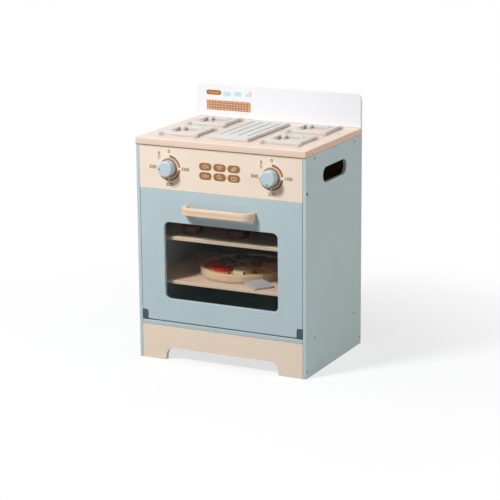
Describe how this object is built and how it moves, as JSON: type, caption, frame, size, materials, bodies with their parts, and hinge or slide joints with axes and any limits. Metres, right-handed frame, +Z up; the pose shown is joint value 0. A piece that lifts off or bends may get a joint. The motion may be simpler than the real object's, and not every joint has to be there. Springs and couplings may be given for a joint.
{
  "type": "toy oven",
  "caption": "Wooden toy oven with a drop-down windowed door, turning knobs, shelves, a hob with grates, a splashback and loose play food.",
  "frame": {"origin": "on the floor under the middle of the whole toy, the door handle included", "axes": "+Z up, front faces -Y, +X to the right seen from the front"},
  "size_m": [0.4, 0.32, 0.5646],
  "materials": {
    "side_paint": "satin grey-blue paint",
    "door_paint": "satin pale blue paint",
    "front_paint": "clear satin lacquer on pale wood",
    "pine": "clear satin lacquer",
    "splash_paint": null,
    "grate_paint": "satin pale grey paint",
    "shelf_wood": "sealed pale board",
    "hardboard": "bare hardboard",
    "pane": "clear sheet",
    "slate_plastic": "fine moulded texture",
    "steel": "zinc plated",
    "knob_paint": "satin light blue paint",
    "washer_plastic": "moulded nylon",
    "tray_metal": "satin grey",
    "server_paint": "satin grey paint",
    "dough": "painted as baked dough and toppings",
    "chocolate": "painted dark brown"
  },
  "bodies": {
    "root": {"side_panel_left": "side_paint", "side_panel_right": "side_paint", "bottom_panel": "door_paint", "control_panel": "front_paint", "plinth_front": "front_paint", "plinth_rear": "front_paint", "worktop": "pine", "top_rail_front": "pine", "top_rail_rear": "pine", "door_stop_left": "pine", "door_stop_right": "pine", "splashback": "splash_paint", "griddle": "grate_paint", "burner_front_left": "grate_paint", "burner_front_right": "grate_paint", "burner_rear_left": "grate_paint", "burner_rear_right": "grate_paint", "shelf_upper": "shelf_wood", "shelf_lower": "shelf_wood", "back_panel": "hardboard", "magnet_catch": "slate_plastic", "bolt_top_front_left": "steel", "bolt_top_rear_left": "steel", "bolt_panel_left": "steel", "bolt_bottom_front_left": "steel", "bolt_bottom_rear_left": "steel", "bolt_plinth_front_left": "steel", "bolt_plinth_rear_left": "steel", "bolt_top_front_right": "steel", "bolt_top_rear_right": "steel", "bolt_panel_right": "steel", "bolt_bottom_front_right": "steel", "bolt_bottom_rear_right": "steel", "bolt_plinth_front_right": "steel", "bolt_plinth_rear_right": "steel", "knob_washer_left": "washer_plastic", "knob_washer_right": "washer_plastic"},
    "door": {"door_panel": "door_paint", "door_window": "pane", "door_handle": "pine", "handle_bolt_left": "steel", "handle_bolt_right": "steel", "hinge_block_left": "slate_plastic", "hinge_block_right": "slate_plastic", "strike_plate": "steel"},
    "knob_left": {"knob_left": "knob_paint", "knob_bolt_left": "steel"},
    "knob_right": {"knob_right": "knob_paint", "knob_bolt_right": "steel"},
    "tray": {"pizza_tray": "tray_metal"},
    "slice_1": {"pizza_slice_1": "dough"},
    "slice_2": {"pizza_slice_2": "dough"},
    "slice_3": {"pizza_slice_3": "dough"},
    "slice_4": {"pizza_slice_4": "dough"},
    "server": {"pizza_server": "server_paint"},
    "muffin_left": {"muffin_left": "chocolate"},
    "muffin_right": {"muffin_right": "chocolate"}
  },
  "joints": [
    {"name": "door_hinge", "type": "hinge", "parent": "root", "child": "door", "pos_m": [0, -0.127, 0.0965], "axis": [1, 0, 0], "range_deg": [0, 90]},
    {"name": "knob_left_turn", "type": "hinge", "parent": "root", "child": "knob_left", "pos_m": [-0.1205, -0.132, 0.4273], "axis": [0, 1, 0], "continuous": true},
    {"name": "knob_right_turn", "type": "hinge", "parent": "root", "child": "knob_right", "pos_m": [0.1205, -0.132, 0.4273], "axis": [0, 1, 0], "continuous": true},
    {"name": "tray_lift", "type": "slide", "parent": "root", "child": "tray", "axis": [0, 0, 1], "range_m": [0, 0.03]},
    {"name": "slice_1_lift", "type": "slide", "parent": "tray", "child": "slice_1", "axis": [0, 0, 1], "range_m": [0, 0.025]},
    {"name": "slice_2_lift", "type": "slide", "parent": "tray", "child": "slice_2", "axis": [0, 0, 1], "range_m": [0, 0.025]},
    {"name": "slice_3_lift", "type": "slide", "parent": "tray", "child": "slice_3", "axis": [0, 0, 1], "range_m": [0, 0.025]},
    {"name": "slice_4_lift", "type": "slide", "parent": "tray", "child": "slice_4", "axis": [0, 0, 1], "range_m": [0, 0.025]},
    {"name": "server_lift", "type": "slide", "parent": "tray", "child": "server", "axis": [0, 0, 1], "range_m": [0, 0.025]},
    {"name": "muffin_left_lift", "type": "slide", "parent": "root", "child": "muffin_left", "axis": [0, 0, 1], "range_m": [0, 0.05]},
    {"name": "muffin_right_lift", "type": "slide", "parent": "root", "child": "muffin_right", "axis": [0, 0, 1], "range_m": [0, 0.05]}
  ]
}
